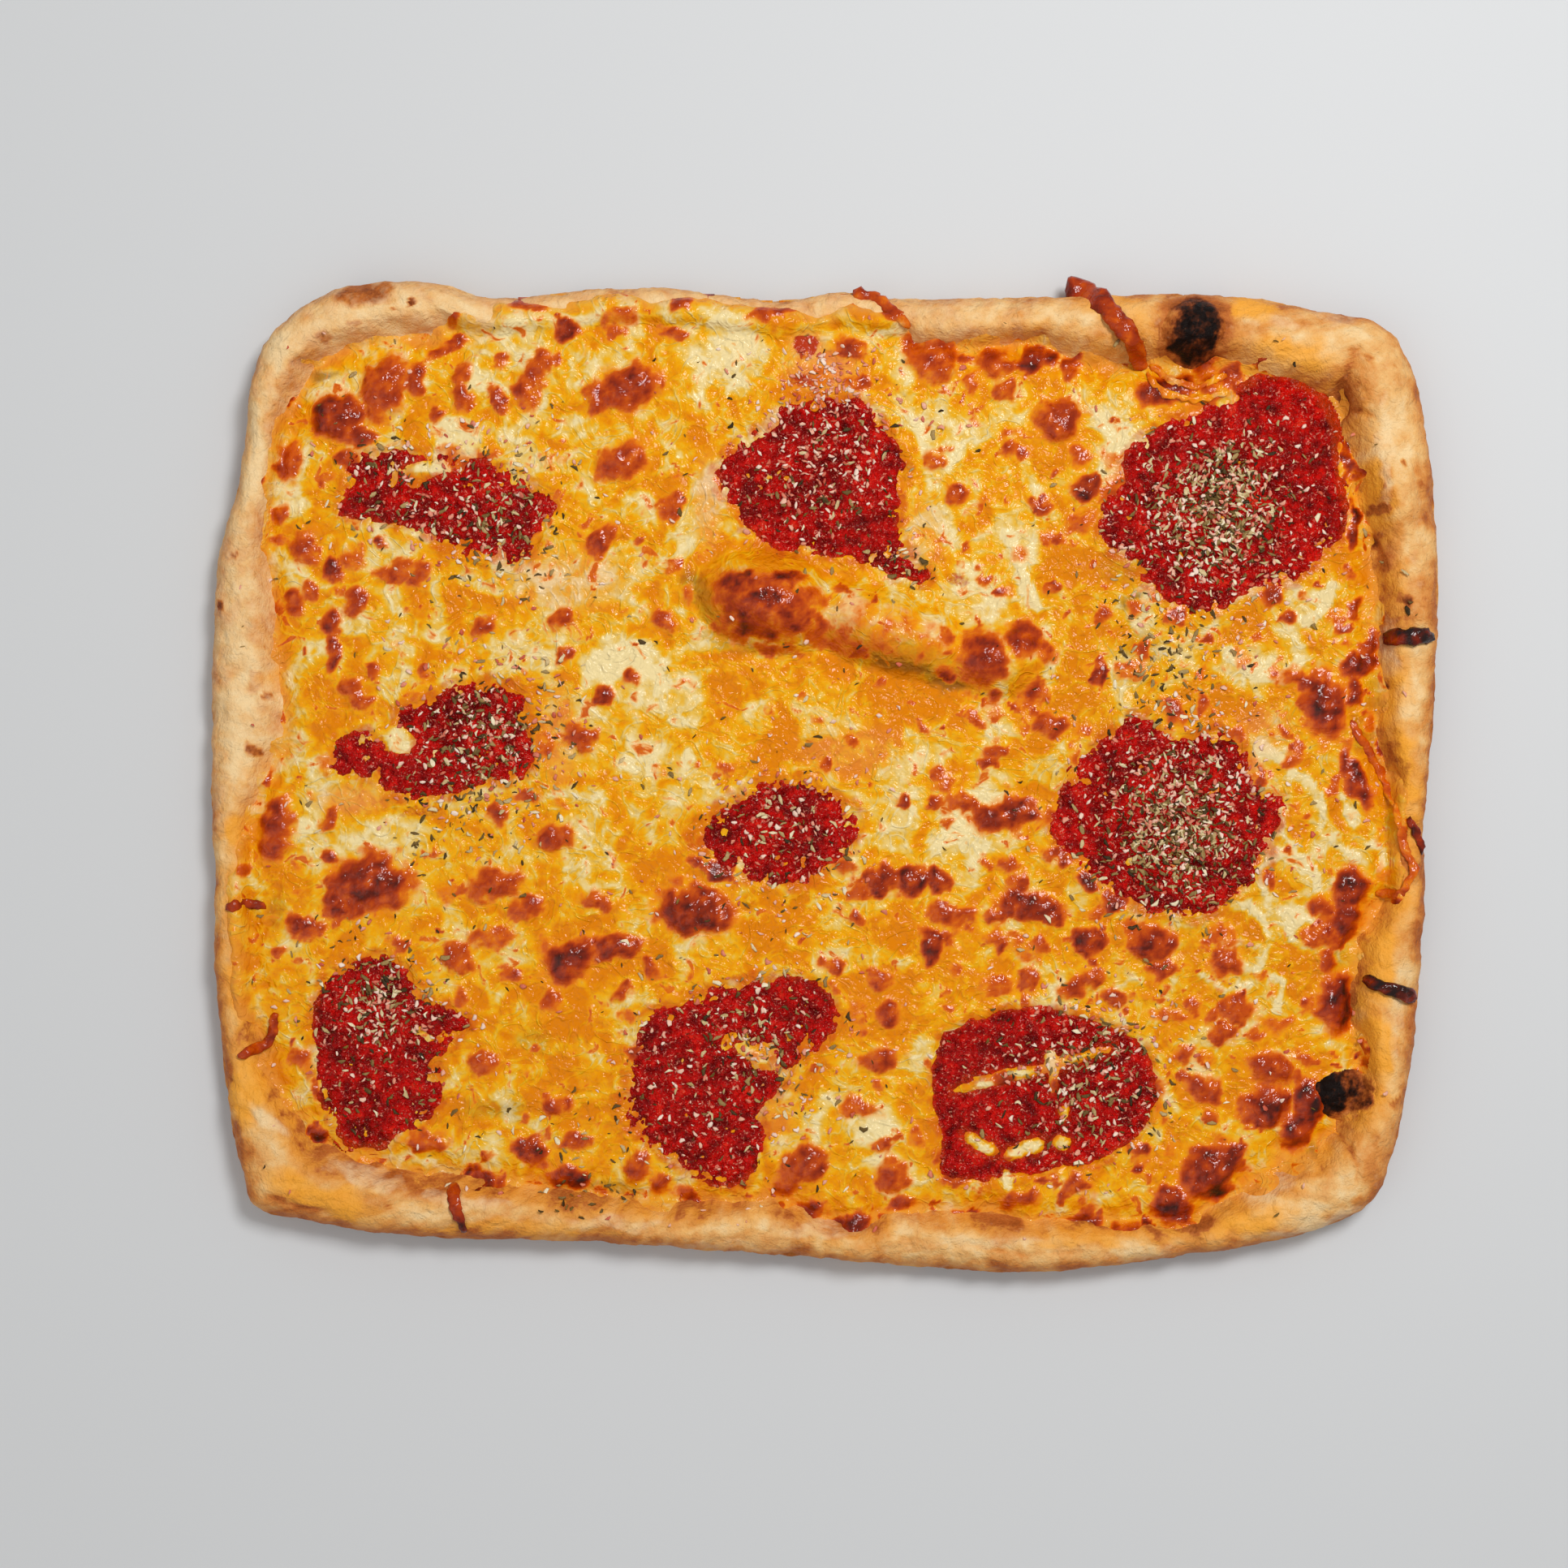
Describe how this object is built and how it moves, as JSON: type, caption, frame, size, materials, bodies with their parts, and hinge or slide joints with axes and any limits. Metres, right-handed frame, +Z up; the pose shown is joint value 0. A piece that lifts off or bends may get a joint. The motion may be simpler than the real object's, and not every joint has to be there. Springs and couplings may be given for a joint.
{
  "type": "grandma pizza",
  "caption": "Rectangular pan pizza with a browned dough rim, melted blistered cheese and spoonfuls of herbed tomato sauce.",
  "frame": {"origin": "under the middle of the pizza, on the surface that it rests on", "axes": "+X along the long side, +Y towards the side at the top of the overhead view, +Z up"},
  "size_m": [0.3879, 0.3135, 0.0261],
  "materials": {
    "baked_dough": "dry baked crust, golden with pale flour and browned spots",
    "melted_cheese": "oily melted cheese, cream to orange with red-brown blisters",
    "tomato_sauce": "wet dark red tomato pulp with herb and grated cheese flakes"
  },
  "bodies": {
    "root": {"crust": "baked_dough", "cheese": "melted_cheese", "sauce_top_left": "tomato_sauce", "sauce_top_middle": "tomato_sauce", "sauce_top_right": "tomato_sauce", "sauce_left": "tomato_sauce", "sauce_middle": "tomato_sauce", "sauce_right": "tomato_sauce", "sauce_bottom_left": "tomato_sauce", "sauce_bottom_middle": "tomato_sauce", "sauce_bottom_right": "tomato_sauce"}
  },
  "joints": []
}
